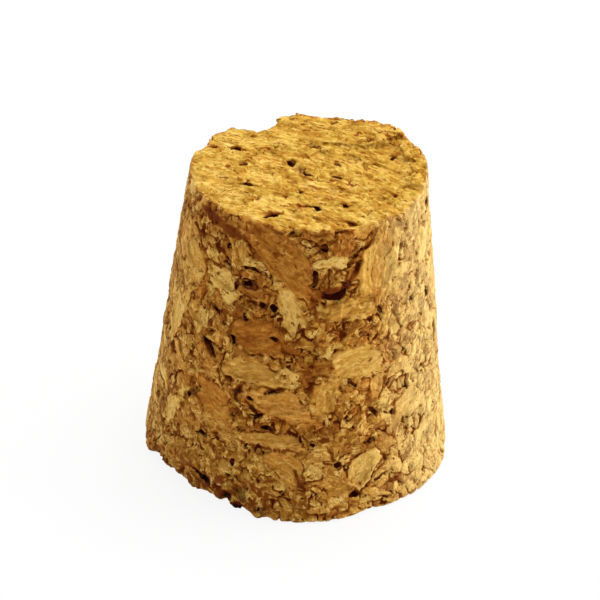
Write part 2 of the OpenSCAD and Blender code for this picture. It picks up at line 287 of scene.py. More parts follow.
# Granules that stand out on the side: angle, height, length, width, lean above level, tone, warmth
SIDE_GRANULES = [
    (259.0, 28.9, 8.1, 3.0, -38, 0.34, 0.9),
    (264.5, 23.3, 4.8, 1.8, -70, 0.76, 0.3),
    (233.0, 24.6, 3.4, 2.8, -20, 0.84, 0.4),
    (222.5, 19.2, 2.7, 1.7, 78, 0.86, 0.3),
    (250.0, 20.2, 5.0, 3.0, 15, 0.26, 1.0),
    (262.5, 13.1, 6.0, 2.9, 2, 0.58, 1.2),
    (261.0, 8.8, 6.0, 1.5, 1, 0.54, 0.5),
    (234.0, 11.7, 4.2, 2.8, -5, 0.42, 1.0),
    (238.0, 9.0, 3.0, 1.8, 0, 0.52, 0.7),
    (226.0, 9.7, 2.2, 1.9, 0, 0.50, 0.8),
    (294.5, 17.2, 4.9, 3.0, 8, 0.62, 0.2),
    (281.0, 14.0, 4.2, 2.7, 80, 0.56, 0.4),
    (303.4, 14.2, 3.4, 1.3, 88, 0.64, 0.8),
    (297.5, 5.3, 4.5, 2.9, 75, 0.68, 0.0),
    (278.3, 5.7, 2.4, 1.6, 85, 0.80, 0.2),
    (279.5, 7.5, 2.6, 1.8, 5, 0.64, 0.3),
    (286.0, 3.7, 3.4, 2.4, -10, 0.48, 0.9),
    (300.8, 27.2, 5.6, 1.7, 86, 0.60, 0.3),
    (306.5, 26.8, 6.0, 1.9, 84, 0.48, 0.6),
    (312.5, 26.6, 5.2, 1.7, 80, 0.62, 0.3),
    (267.0, 6.2, 3.5, 2.8, -20, 0.54, 1.2),
    (250.5, 16.0, 4.8, 2.7, 15, 0.56, 0.3),
    (263.0, 15.8, 1.9, 1.3, 0, 0.66, 0.1),
    (232.0, 15.0, 2.2, 2.0, 0, 0.50, 0.7),
    (203.0, 17.2, 6.0, 2.4, 80, 0.70, 0.4),
    (216.0, 29.2, 2.4, 1.0, 80, 0.80, 0.4),
    (224.0, 26.7, 2.0, 1.2, 0, 0.68, 0.4),
    (293.0, 23.3, 3.8, 2.3, 10, 0.54, 0.3),
    (239.5, 28.7, 3.6, 1.5, -78, 0.58, 0.6),
    (247.0, 27.3, 2.1, 0.9, 0, 0.74, 0.1),
    (248.0, 24.6, 3.0, 1.5, 0, 0.34, 0.9),
    (283.0, 28.3, 3.8, 1.0, 5, 0.82, 0.0),
    (288.0, 30.2, 1.9, 1.6, 90, 0.40, 1.2),
    (294.3, 30.3, 1.3, 0.7, 20, 0.80, 0.6),
    (212.0, 25.0, 4.2, 2.4, -20, 0.62, 0.5),
    (211.0, 7.4, 4.0, 2.0, 75, 0.76, 0.2),
    (321.0, 10.8, 4.0, 2.6, 10, 0.52, 0.5),
]

# Granules that stand out on the narrow end: x, y, length, width, lean, tone, warmth
TOP_GRANULES = [
    (0.9, 3.0, 2.6, 1.6, 80, 0.78, 0.3),
    (-4.6, -1.3, 4.2, 1.8, -15, 0.80, 0.4),
    (-4.3, 1.9, 4.2, 1.5, -8, 0.42, 1.2),
    (-3.6, -6.6, 3.8, 1.8, 25, 0.74, 0.0),
    (5.5, -8.9, 2.9, 1.2, -5, 0.90, 0.1),
    (1.4, -4.6, 4.2, 1.2, -10, 0.56, 0.3),
    (0.6, -2.6, 3.6, 0.9, -10, 0.86, 0.3),
    (7.3, 0.9, 3.6, 1.6, -30, 0.58, 0.4),
    (-8.5, -3.3, 3.2, 2.0, -40, 0.50, 0.6),
]


FAR = 99.0  # farther than any granule


class Nearest:
    """For each point of the surface, its nearest two granules and how far their faces are."""

    def __init__(self, count):
        self.near = np.full(count, FAR)
        self.next = np.full(count, FAR)
        self.near_id = np.zeros(count, np.int64)
        self.next_id = np.zeros(count, np.int64)

    def offer(self, index, distance, granule):
        """Sets one more granule against the nearest two, for the points of an index."""
        closer = distance < self.near[index]
        second = ~closer & (distance < self.next[index])
        hit = index[closer]
        self.next[hit] = self.near[hit]
        self.next_id[hit] = self.near_id[hit]
        self.near[hit] = distance[closer]
        self.near_id[hit] = granule
        hit = index[second]
        self.next[hit] = distance[second]
        self.next_id[hit] = granule


BLADE_CENTRE = (-19.5, -40.2)  # the round blade that cut the narrow end turned about this point
BLADE_RADIUS = 42.0
OUTWARD = -0.04  # how far the granules stand proud of the solid on the whole

# Where wear and torn granules leave the side proud or low: angle, height, how far it reaches
# round and up, and how far it pushes the side out
SWELLS = [
    (200, 0.8, 2.0, 1.2, 0.50),
    (222, 0.8, 2.6, 1.4, 0.25),
    (270, 0.2, 3.0, 1.0, 0.20),
    (322, 1.0, 4.0, 2.0, 0.15),
    (326, 1.0, 2.2, 2.0, 0.15),
    (355, 10.0, 6.0, 5.0, -0.20),
    (340, 0.8, 3.0, 1.8, 0.30),
    (186, 10.0, 5.0, 5.0, -0.16),
    (190, 2.0, 3.0, 3.0, -0.15),
    (246, 0.6, 3.0, 1.4, 0.25),
    (272, 0.8, 5.0, 1.6, 0.25),
    (283, 0.4, 2.2, 1.2, 0.25),
    (320, 0.8, 6.0, 1.6, 0.15),
    (22, 31.4, 2.8, 1.4, 0.45),
    (45, 31.8, 1.6, 1.2, 0.75),
    (66, 31.8, 3.4, 1.6, -0.45),
    (109, 31.8, 1.2, 1.2, 0.40),
    (127, 31.8, 1.2, 1.2, -0.40),
    (84, 31.6, 2.2, 1.4, -0.50),
    (135, 31.8, 1.6, 1.2, -0.30),
    (159, 31.6, 1.5, 1.6, -0.75),
    (300, 0.2, 1.4, 1.0, -0.40),
]

BIN = 2.0  # edge of the boxes that points are sorted into
BINS = 256  # how many boxes a row may have, with half of them on each side of the middle


def box_number(i, j, k):
    return (i * BINS + j) * BINS + k


def sorted_points(points):
    """Points by the box they lie in: {box: their indices}."""
    cell = np.floor(points / BIN).astype(np.int64) + BINS // 2
    key = box_number(*cell.T)
    order = np.argsort(key, kind="stable")
    found, starts = np.unique(key[order], return_index=True)
    return dict(zip(found.tolist(), np.split(order, starts[1:])))


def points_near(boxes, centre, reach):
    """The indices of all points in the boxes within reach of a centre."""
    low = np.floor((centre - reach) / BIN).astype(int) + BINS // 2
    high = np.floor((centre + reach) / BIN).astype(int) + BINS // 2
    hits = []
    for i in range(low[0], high[0] + 1):
        for j in range(low[1], high[1] + 1):
            for k in range(low[2], high[2] + 1):
                box = boxes.get(box_number(i, j, k))
                if box is not None:
                    hits.append(box)
    return np.concatenate(hits) if hits else np.zeros(0, np.int64)


def nearest_granules(points, pack):
    """Measures every point against the granules round it, each a rounded many-sided solid."""
    found = Nearest(len(points))
    boxes = sorted_points(points)
    chance = np.random.default_rng(seed=23)
    spread = chance.normal(size=(FACETS, 3))
    directions = spread / np.linalg.norm(spread, axis=1, keepdims=True)
    for g in range(pack.count):
        centre, turn, half = pack.centres[g], pack.turns[g], pack.halves[g]
        facet = chance.uniform(*FACET_REACH, FACETS)
        index = points_near(boxes, centre, SEARCH_SHARE * half[0] + SEARCH_MARGIN)
        if not len(index):
            continue
        own = (points[index] - centre) @ turn.T / half
        flat = (own @ directions.T / facet).max(axis=1)
        gauge = (1.0 - ROUNDNESS) * flat + ROUNDNESS * np.linalg.norm(own, axis=1)
        size = (half[0] * half[1] * half[2]) ** (1 / 3)
        found.offer(index, (gauge - 1.0) * size, g)
    return found


def pair_chance(a, b, salt):
    """A repeatable number from 0 to 1 for the border between two granules."""
    low = np.minimum(a, b)
    high = np.maximum(a, b)
    cell = np.stack([low, high, low * 0], axis=1).astype(np.uint32)
    return lattice(cell, salt)


def own_chance(a, salt):
    """A repeatable number from 0 to 1 for a granule."""
    cell = np.stack([a, a * 0, a * 0], axis=1).astype(np.uint32)
    return lattice(cell, salt)


# Where the surface itself lies deep: the angles, the degrees over which it gets there from each
# end, and the heights or depths at which it starts and is full
WORN_ARC = (188.0, 270.0, 8.0)
WORN_HEIGHTS = (4.2, 3.4)
GAP = (100.0, 136.0, 4.0)
GAP_DEPTHS = (5.0, 4.2)

# How high or deep each part of the relief is, in millimetres
LIFT = 0.10  # steps from one granule to the next
TILT = 0.14  # how far a small granule leans for each millimetre from its middle
COARSE_TILT = 0.07  # how much less a large one leans
CRACK_DEPTH = 0.14
HOLLOW_DEPTH = 0.28
STEP_HEIGHT = 0.26  # terraces torn by the saw
FUZZ = 0.07  # fine roughness
PLAIN_FUZZ = 0.4  # the share of it on the granules that stand out
CRUMBLED = 0.4  # lumps in the gap and in the worn arc
ARC_CRUMBLED = 0.7  # and more of them in the arc
LARGE_TEAR = 0.16  # sliding that tears the outlines of voids and rims
SMALL_TEAR = 0.11
RIM_WAVE = 0.5  # how far the rim of the narrow end waves up and down

# Borders between granules, in millimetres: the widths of a pressed crack and what gaping adds, how
# far past the nearest granule a hollow starts and is full, and the depths in a void at which its painted
# shade starts and is full
CRACK_WIDTH = 0.16
GAPING_WIDTH = 0.24
HOLLOW_LIMITS = (0.04, 0.26)
VOID_SHADE_LIMITS = (0.30, 0.65)

# How far below the sawn face and in from the side the sawn granules start and are full
SAWN_DEPTHS = (0.9, 0.1)
SAWN_EDGE = (0.0, 0.5)

LARGE = (0.4, 1.3)  # half lengths between which granules turn from small to large
ROUGH = (2.4, 0.7)  # and between which they turn from smooth to rough

# The least and the most of a void's depth that crumbs fill, and the depths past which there are
# none and short of which there are all
SIDE_CRUMBS = (0.25, 0.90)
SAWN_CRUMBS = (0.60, 0.92)
MOST_CRUMBS = 1.4
CRUMB_FLOOR = (2.4, 1.8)

# The crumbs in front of the torn lip: middle, reach each way, and height
RAMP_MIDDLE = (3.5, 4.1)
RAMP_REACH = (3.8, 1.2)
RAMP_HEIGHT = 0.35


def in_arc(angles, start, end, fade):
    """1 between two angles, falling to 0 over the first and last fade degrees."""
    return smoothstep(start, start + fade, angles) * smoothstep(end, end - fade, angles)


class Skin:
    """What the granules do at each point of the surface."""

    def __init__(self, points, pack):
        self.points = points
        bend = 0.12 * noise_vector(points, 1.2, salt=5)
        warped = points + bend + 0.05 * noise_vector(points, 0.35, salt=9)
        found = nearest_granules(warped, pack)
        self.own = found.near_id
        self.border = found.next - found.near
        self.inside = found.near
        self.other = found.next_id
        self.tone = pack.tones[self.own]
        self.warmth = pack.warmths[self.own]
        self.away = points - pack.centres[self.own]
        self.grain = np.einsum("nij,nj->ni", pack.turns[self.own], self.away)
        # plain: well inside one of the granules that stand out on the side
        self.plain = (self.own < len(SIDE_GRANULES)) & (self.inside < -0.12)
        size = pack.halves[self.own, 0]
        self.coarse = smoothstep(*LARGE, size)
        self.rough = smoothstep(*ROUGH, size) * 0.6 + 0.4 * own_chance(self.own, salt=77)
        self.below_side = side_radius(points[:, 2]) - np.hypot(points[:, 0], points[:, 1])
        low, high = SAWN_DEPTHS
        self.sawn = smoothstep(SAWN_Z - low, SAWN_Z - high, points[:, 2])
        self.sawn *= smoothstep(*SAWN_EDGE, self.below_side)
        self.angle = np.degrees(np.arctan2(points[:, 1], points[:, 0])) % 360.0

    def torn_steps(self, size, salt):
        """Terraces torn by the saw: 0 at the foot of each step and 1 at its top edge."""
        bent = self.points + 0.5 * noise_vector(self.points, 1.6, salt=91)
        east = bent[:, 0] - BLADE_CENTRE[0]
        north = bent[:, 1] - BLADE_CENTRE[1]
        along = np.arctan2(north, east) * BLADE_RADIUS
        places = np.stack([along / 2.8, np.hypot(east, north), bent[:, 2]], axis=1)
        climb = 5.0 * layered_noise(places, size, 2, salt)
        return climb - np.floor(climb)

    def open_border(self):
        """1 where the border between two granules gapes, 0 where they are pressed together."""
        pair = pair_chance(self.own, self.other, salt=3)
        patchy = noise(self.points, 1.3, salt=31)
        return smoothstep(0.44, 0.70, 0.5 * pair + 0.5 * patchy) * (1.0 - 0.5 * self.sawn)

    def crack(self):
        """How much of a crack between two granules there is at each point, 0 to 1."""
        opened = self.open_border()
        width = CRACK_WIDTH + GAPING_WIDTH * opened
        line = 1.0 - smoothstep(0.0, width, self.border)
        return line * (0.1 + 0.9 * opened)

    def hollow(self):
        """How much of a hollow that no granule fills there is at each point, 0 to 1."""
        return smoothstep(*HOLLOW_LIMITS, self.inside) * self.open_border()

    def worn_arc(self):
        """1 in the crumbled arc of the wide rim, 0 elsewhere."""
        return in_arc(self.angle, *WORN_ARC) * smoothstep(*WORN_HEIGHTS, self.points[:, 2])

    def worn_away(self):
        """1 in the crumbled arc and in the gap, where the surface itself lies deep."""
        low, high = GAP_DEPTHS
        gap = in_arc(self.angle, *GAP) * smoothstep(SAWN_Z - low, SAWN_Z - high, self.points[:, 2])
        return np.maximum(self.worn_arc(), gap)

    def void(self):
        """How deep in one of the solid's own voids each point lies, 0 to 1: where the finish paints shade
        in the voids.
        """
        depth = np.minimum(self.below_side, self.points[:, 2])
        depth = np.minimum(depth, SAWN_Z - self.points[:, 2])
        filled = 0.7 * (1.0 - self.sawn) * self.crumb_share(*SIDE_CRUMBS)
        return smoothstep(*VOID_SHADE_LIMITS, depth) * (1.0 - filled) * (1.0 - self.worn_away())

    def crumb_share(self, least, most):
        """The share of a void's depth that crumbs fill at each point."""
        filled = smoothstep(0.42, 0.56, layered_noise(self.points, 0.9, 3, salt=83))
        return least + (most - least) * filled

    def relief(self):
        """How far the granules raise or sink the surface, in millimetres."""
        flush = 1.0 - 0.6 * self.sawn
        lift = LIFT * (own_chance(self.own, salt=41) - 0.5)
        slope = np.stack([own_chance(self.own, salt=43 + k) for k in range(3)], axis=1) - 0.5
        tilt = TILT - COARSE_TILT * self.coarse
        tilt = tilt * np.clip((self.away * slope).sum(axis=1), -1.2, 1.2)
        gaps = -CRACK_DEPTH * self.crack() - HOLLOW_DEPTH * self.hollow()
        steps = STEP_HEIGHT * (self.torn_steps(2.0, salt=89) - 0.5) * self.sawn
        fuzz = FUZZ * (layered_noise(self.points, 0.5, 2, salt=71) - 0.5)
        fuzz = fuzz * np.where(self.plain, PLAIN_FUZZ, 1.0)
        crumbled = CRUMBLED * self.worn_away() + ARC_CRUMBLED * self.worn_arc()
        crumbled *= layered_noise(self.points, 1.1, 3, salt=73) - 0.5
        return OUTWARD + flush * (lift + tilt) + gaps + steps + fuzz + crumbled

    def crumbs_in_voids(self):
        """How far crumbs of cork fill the solid's voids, in millimetres out from the axis."""
        up = self.points[:, 2]
        deep = np.clip(self.below_side - 0.2, 0.0, MOST_CRUMBS)
        deep *= smoothstep(*CRUMB_FLOOR, self.below_side) * (1.0 - self.worn_away()) * (1.0 - self.sawn)
        deep *= smoothstep(SAWN_Z - 0.3, SAWN_Z - 1.0, up) * smoothstep(0.2, 0.8, up)
        return deep * self.crumb_share(*SIDE_CRUMBS)

    def crumbs_in_sawn_voids(self):
        """How far crumbs of cork fill the voids of the narrow end, in millimetres up."""
        below = SAWN_Z - self.points[:, 2]
        deep = np.clip(below - 0.15, 0.0, MOST_CRUMBS) * smoothstep(*CRUMB_FLOOR, below)
        deep *= smoothstep(0.9, 1.5, self.below_side) * (1.0 - self.worn_away())
        return deep * self.crumb_share(*SAWN_CRUMBS)

    def swell(self):
        """How far wear and torn granules push the side out from the axis or let it in."""
        total = np.zeros(len(self.points))
        for angle, z, round_reach, up_reach, push in SWELLS:
            along = np.radians(turned_from(angle, self.angle)) * side_radius(z) / round_reach
            up = (self.points[:, 2] - z) / up_reach
            total += push * np.exp(-along**2 - up**2)
        return total * smoothstep(4.0, 1.0, self.below_side)

    def ramp(self):
        """How far crumbs raise the sawn face in front of the torn lip, which softens its step."""
        east, north, up = self.points.T
        spread = ((east - RAMP_MIDDLE[0]) / RAMP_REACH[0]) ** 2
        spread = spread + ((north - RAMP_MIDDLE[1]) / RAMP_REACH[1]) ** 2
        below_lip = smoothstep(SAWN_Z + 0.5, SAWN_Z + 0.1, up)
        return RAMP_HEIGHT * np.exp(-spread) * self.sawn * below_lip

    def slide(self):
        """A small shift along the surface, which tears the outlines of voids and of the rims."""
        shift = LARGE_TEAR * noise_vector(self.points, 0.9, salt=51)
        shift = shift + SMALL_TEAR * noise_vector(self.points, 0.4, salt=57)
        outwards = axial(self.points)
        on_the_side = smoothstep(0.5, 0.1, self.below_side)[:, None]
        shift -= outwards * (shift * outwards).sum(axis=1, keepdims=True) * on_the_side
        from_rim = np.hypot(self.below_side, self.points[:, 2] - SAWN_Z)
        flat_end = self.sawn + smoothstep(0.6, 0.1, self.points[:, 2])
        shift[:, 2] *= np.clip(1.0 - flat_end * smoothstep(0.0, 0.8, from_rim), 0.0, 1.0)
        shift[:, 2] += RIM_WAVE * (noise(self.points, 2.4, salt=97) - 0.5) * np.exp(-from_rim / 0.8)
        return shift


# ---------------------------------------------------------------------------
# The piece
# ---------------------------------------------------------------------------
def only(piece):
    """Selects one object alone and makes it active."""
    bpy.ops.object.select_all(action="DESELECT")
    piece.select_set(True)
    bpy.context.view_layer.objects.active = piece


def apply_modifier(piece, kind, **settings):
    """Adds a modifier with its settings and applies it."""
    only(piece)
    modifier = piece.modifiers.new(kind.title(), kind)
    for name, value in settings.items():
        setattr(modifier, name, value)
    bpy.ops.object.modifier_apply(modifier=modifier.name)


def rows(items, name):
    """One vector of each item, such as the place of each corner, as the rows of an array."""
    flat = np.empty(len(items) * 3)
    items.foreach_get(name, flat)
    return flat.reshape(-1, 3)


def turned_copy():
    """A closed copy of the solid in millimetres, remeshed fine and even."""
    node = frame["nodes"]["stopper"]
    piece = node.copy()
    piece.data = node.data.copy()
    piece.name = "cork_stopper"
    piece.data.name = "cork_stopper"
    piece.parent = None
    for key in list(piece.keys()):
        del piece[key]
    bpy.context.scene.collection.objects.link(piece)
    piece.data.transform(Matrix.Scale(1.0 / MM, 4))
    piece.data.materials.clear()
    only(piece)
    bpy.ops.object.mode_set(mode="EDIT")
    bpy.ops.mesh.select_all(action="SELECT")
    bpy.ops.mesh.remove_doubles(threshold=MERGE)
    bpy.ops.object.mode_set(mode="OBJECT")
    apply_modifier(piece, "REMESH", mode="VOXEL", voxel_size=VOXEL)
    return piece


def raise_granules(piece, pack):
    """Moves the surface along its normals by the granules' relief, and keeps where it was."""
    mesh = piece.data
    rest = rows(mesh.vertices, "co")
    skin = Skin(rest, pack)
    moved = rest + rows(mesh.vertices, "normal") * skin.relief()[:, None] + skin.slide()
    moved += axial(rest) * (skin.swell() + skin.crumbs_in_voids())[:, None]
    moved[:, 2] += skin.crumbs_in_sawn_voids() + skin.ramp()
    moved[:, 2] = np.maximum(moved[:, 2], 0.0)
    keep = mesh.attributes.new("rest", "FLOAT_VECTOR", "POINT")
    keep.data.foreach_set("vector", rest.ravel())
    mesh.vertices.foreach_set("co", moved.ravel())
    mesh.update()


def thin(piece):
    """Takes faces from the flat stretches until the piece is within its triangles."""
    piece.data.calc_loop_triangles()
    now = len(piece.data.loop_triangles)
    if now > TRIANGLES:
        apply_modifier(piece, "DECIMATE", ratio=TRIANGLES / now, use_collapse_triangulate=True)


def stand(piece):
    """Brings what thinning left below the floor back up to it."""
    co = rows(piece.data.vertices, "co")
    co[:, 2] = np.maximum(co[:, 2], 0.0)
    piece.data.vertices.foreach_set("co", co.ravel())
    piece.data.update()


# Painted light: the side is painted paler where strong light falls on its right and grazing sheen on its
# left: the angle it is palest at, the cosine of the way round at which the paling starts, and how far it
# goes
PAINTED_LIGHT_ANGLES = [(352, 0.58, 1.0), (186, 0.85, 0.20)]

DARK_MARK_EDGE = (1.2, 0.6)  # where a dark mark starts and where it is full, as shares of its half sizes
SPECK_DEPTH = 0.65  # how dark the specks in the crumbled arc are

# Dark marks, some the cork's own flecks and cracks and some painted shade of its creases and hollows:
# angle, height, half length, half width, lean above level, depth of colour
SIDE_DARK_MARKS = [
    (284.5, 25.2, 1.7, 0.6, 15, 0.85),
    (290.0, 26.0, 1.1, 0.4, 45, 0.9),
    (294.5, 27.5, 1.2, 0.35, 62, 0.8),
    (278.5, 25.4, 1.0, 0.5, -10, 0.5),
    (279.0, 17.2, 1.5, 0.25, -8, 1.0),
    (276.5, 17.9, 0.9, 0.2, 80, 0.8),
    (274.8, 15.1, 0.9, 0.40, 86, 0.9),
    (281.5, 16.3, 0.7, 0.2, 80, 0.8),
    (271.5, 16.9, 0.9, 0.15, 0, 0.7),
    (278.5, 31.2, 1.6, 0.3, 0, 0.5),
    # painted shade of a hollow
    (277.5, 29.8, 0.9, 0.5, -50, 0.5),
    # painted shade of a crease
    (247.0, 28.9, 1.1, 0.25, -48, 0.6),
    (256.5, 31.0, 0.8, 0.2, -30, 0.45),
    (260.5, 29.6, 0.8, 0.25, -35, 0.4),
    (222.0, 30.6, 1.7, 0.7, -5, 0.85),
    (232.5, 30.0, 1.8, 0.6, -10, 0.75),
    (241.0, 29.8, 0.6, 0.5, 0, 0.7),
    (231.0, 27.6, 0.4, 0.3, 0, 0.9),
    (247.5, 31.0, 0.9, 0.3, -10, 0.7),
    (259.0, 31.3, 1.2, 0.2, -8, 0.7),
    (229.0, 17.1, 1.4, 0.5, -38, 0.8),
    (230.7, 21.4, 0.7, 0.35, -40, 0.6),
    (237.5, 6.3, 0.9, 0.5, -20, 0.6),
    (224.0, 4.2, 2.4, 1.1, -12, 0.24),
    (236.0, 1.4, 3.0, 0.7, -15, 0.24),
    (283.0, 0.8, 3.2, 0.45, 0, 0.45),
    (283.7, 5.5, 0.5, 0.5, 0, 0.4),
    (282.0, 9.1, 0.8, 0.22, 0, 0.6),
    (285.0, 8.7, 0.5, 0.12, 88, 0.6),
    (287.5, 1.45, 0.7, 0.18, 0, 0.7),
    (267.0, 19.9, 1.4, 0.3, -3, 0.6),
    # painted shade
    (277.0, 22.9, 0.9, 0.4, 85, 0.5),
    (310.0, 19.2, 0.7, 0.35, -75, 0.5),
    (306.5, 2.6, 0.9, 0.35, 20, 0.4),
    (197.0, 5.6, 0.6, 0.4, 0, 0.5),
    (205.0, 13.6, 0.9, 0.5, -30, 0.6),
    (243.0, 1.0, 0.6, 0.5, 0, 0.9),
    (250.5, 0.5, 0.9, 0.3, -20, 0.9),
    (232.0, 2.6, 1.6, 0.3, -42, 0.9),
    (262.0, 4.4, 0.8, 0.2, 20, 0.6),
    (272.0, 2.2, 0.7, 0.2, -30, 0.6),
    # marks along cracks and gaps, the darkest with near-black cores of painted shadow
    (260.4, 14.5, 1.4, 0.22, 18, 1.4),
    (252.7, 12.1, 1.2, 0.28, -40, 1.4),
    (262.1, 11.2, 1.1, 0.18, -5, 0.8),
    (245.6, 13.7, 0.7, 0.35, 60, 1.2),
    (258.0, 9.8, 0.6, 0.25, 0, 0.9),
    (260.0, 7.9, 2.7, 0.14, 0, 0.8),
    (244.5, 0.9, 0.5, 0.6, 0, 1.4),
    (249.5, 0.2, 1.0, 0.3, -10, 1.4),
    (232.5, 2.2, 1.6, 0.22, -45, 1.3),
    (212.0, 4.6, 0.5, 0.3, 0, 0.9),
]

# The same on the narrow end: x, y, half length, half width, lean, depth of colour
TOP_DARK_MARKS = [
    (-3.2, -8.8, 1.2, 0.6, 10, 0.55),
    (-7.5, 3.9, 0.8, 0.5, 0, 0.5),
    (0.5, -3.4, 1.3, 0.2, -8, 0.6),
    (2.6, -2.0, 0.9, 0.2, -10, 0.7),
    (-0.5, -0.6, 1.4, 0.25, -35, 0.8),
    (-0.4, -7.2, 0.7, 0.3, 0, 0.8),
    (-4.1, 3.8, 0.8, 0.25, -10, 0.7),
    (8.5, 3.7, 0.7, 0.4, 20, 0.45),
    (2.6, 10.2, 0.6, 0.4, 0, 0.6),
    (4.5, 9.1, 0.6, 0.4, 0, 0.4),
    (7.2, 8.7, 0.4, 0.8, 0, 0.4),
    (7.5, -4.9, 0.6, 0.4, -20, 0.4),
    (3.9, -9.8, 1.2, 0.3, -10, 0.5),
    (-10.4, 3.9, 0.5, 0.4, 0, 0.6),
]


def dark_mark_shape(along, across, half_length, half_width, lean):
    """How far out in a dark mark each point lies: 0 at its middle and 1 at its half sizes."""
    b = math.radians(lean)
    u = (along * math.cos(b) + across * math.sin(b)) / half_length
    v = (across * math.cos(b) - along * math.sin(b)) / half_width
    return np.hypot(u, v)


def dark_marks(skin):
    """How dark each point's marks are, with ragged edges: 0 to 1, and more in a black core of painted
    shadow.
    """
    ragged = 0.9 * (layered_noise(skin.points, 0.9, 3, salt=63) - 0.5)
    x, y, up = skin.points.T
    total = np.zeros(len(skin.points))
    for angle, z, half_length, half_width, lean, depth in SIDE_DARK_MARKS:
        along = np.radians(turned_from(angle, skin.angle)) * side_radius(z)
        shape = dark_mark_shape(along, up - z, half_length, half_width, lean) + ragged
        total = np.maximum(total, depth * smoothstep(*DARK_MARK_EDGE, shape) * (1.0 - skin.sawn))
    for east, north, half_length, half_width, lean, depth in TOP_DARK_MARKS:
        shape = dark_mark_shape(x - east, y - north, half_length, half_width, lean) + ragged
        total = np.maximum(total, depth * smoothstep(*DARK_MARK_EDGE, shape) * skin.sawn)
    specks = smoothstep(0.55, 0.62, layered_noise(skin.points, 0.45, 2, salt=67))
    return np.maximum(total, SPECK_DEPTH * specks * skin.worn_arc())


def painted_side_light(skin):
    """Painted light: how far the side is painted paler at each point, where strong light and grazing sheen
    fall on it, 0 to 1.
    """
    total = np.zeros(len(skin.points))
    for angle, start, share in PAINTED_LIGHT_ANGLES:
        total = np.maximum(total, share * smoothstep(start, 1.0, np.cos(np.radians(skin.angle - angle))))
    return total * (1.0 - skin.sawn)


FAR_BORDER = 0.8  # past this, how far the next granule lies makes no difference


def colour_granules(piece, pack):
    """Writes what the cork finish reads: each point's tone, warmth, painted light, gaps, painted shade in
    voids, dark marks and grain.
    """
    mesh = piece.data
    skin = Skin(rows(mesh.attributes["rest"].data, "vector"), pack)
    stored = {
        "tone": skin.tone,
        "warmth": skin.warmth,
        # painted light on the brightly lit sides
        "painted_side_light": painted_side_light(skin),
        "border": np.minimum(skin.border, FAR_BORDER),
        "opening": skin.open_border(),
        "hollow": skin.hollow(),
        # painted shade, deeper in the voids
        "void": skin.void(),
        "rough": skin.rough,
        "dark_mark": dark_marks(skin),
        "sawn": skin.sawn,
    }
    for name, values in stored.items():
        layer = mesh.attributes.new(name, "FLOAT", "POINT")
        layer.data.foreach_set("value", np.ascontiguousarray(values, dtype=np.float32))
    layer = mesh.attributes.new("grain", "FLOAT_VECTOR", "POINT")
    layer.data.foreach_set("vector", np.ascontiguousarray(skin.grain.ravel(), dtype=np.float32))
    mesh.attributes.remove(mesh.attributes["rest"])


def cork_stopper():
    pack = granule_packing()
    piece = turned_copy()
    raise_granules(piece, pack)
    thin(piece)
    stand(piece)
    colour_granules(piece, pack)
    piece.data.transform(Matrix.Scale(MM, 4))
    only(piece)
    bpy.ops.object.shade_smooth()
    piece.data.materials.append(cork_finish())
    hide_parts("stopper")
    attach(piece, "root")
    return piece


# ---------------------------------------------------------------------------
# Finish
# ---------------------------------------------------------------------------
def colour(red, green, blue):
    """A linear colour from the usual 0 to 255 values."""
    def linear(value):
        value = value / 255.0
        return value / 12.92 if value <= 0.04045 else ((value + 0.055) / 1.055) ** 2.4

    return linear(red), linear(green), linear(blue), 1.0


